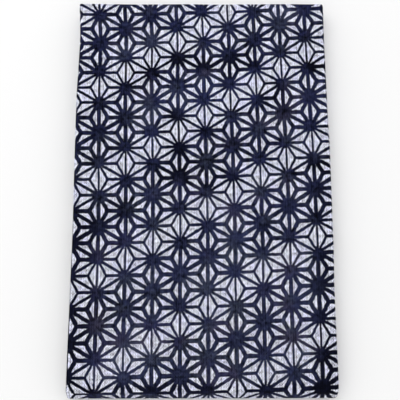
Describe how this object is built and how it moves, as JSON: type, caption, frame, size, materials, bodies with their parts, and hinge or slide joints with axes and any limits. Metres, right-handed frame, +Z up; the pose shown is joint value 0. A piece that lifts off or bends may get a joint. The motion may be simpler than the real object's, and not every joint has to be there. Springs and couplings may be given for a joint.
{
  "type": "folded tenugui towel",
  "caption": "Thin cotton hand towel with an indigo hemp-leaf print, its length halved three times and its width once into a flat rectangle.",
  "frame": {"origin": "on the resting surface, under the middle of the folded towel", "axes": "+Z up, +Y away from the last fold, towards the woven edges, +X across the side folds"},
  "size_m": [0.1134, 0.175, 0.0098],
  "materials": {
    "printed_cotton": "plain-woven pale cotton printed in deep indigo, matt"
  },
  "bodies": {
    "root": {"folded_cloth": "printed_cotton"}
  },
  "joints": []
}
